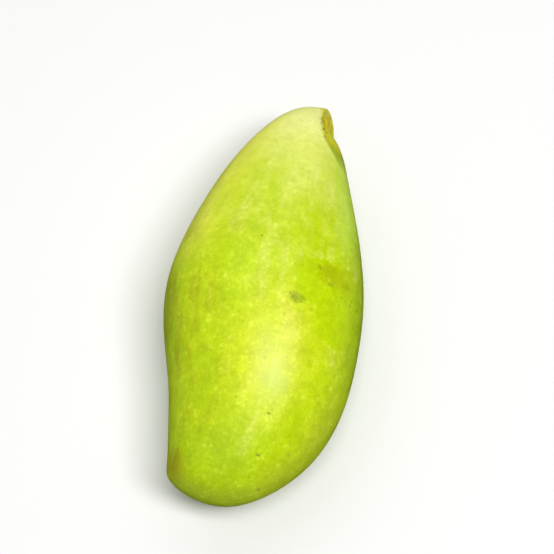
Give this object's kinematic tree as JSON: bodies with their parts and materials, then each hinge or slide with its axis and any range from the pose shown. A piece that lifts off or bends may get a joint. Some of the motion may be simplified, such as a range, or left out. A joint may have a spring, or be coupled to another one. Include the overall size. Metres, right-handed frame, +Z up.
{
  "type": "mango",
  "caption": "Long green mango lying on one cheek, narrow at the stem end and hooked to a small beak at the other; food, a fruit for bowls, kitchens and market stalls.",
  "frame": {"origin": "on the surface the fruit lies on, below the middle of its outline", "axes": "+Z up, +Y along the fruit to its stem end, +X to its full (dorsal) side, -X to its hollow (ventral) side"},
  "size_m": [0.07, 0.1486, 0.0584],
  "materials": {
    "green_skin": "satin, waxy fruit skin with a pale bloom"
  },
  "bodies": {
    "root": {"mango": "green_skin"}
  },
  "joints": []
}
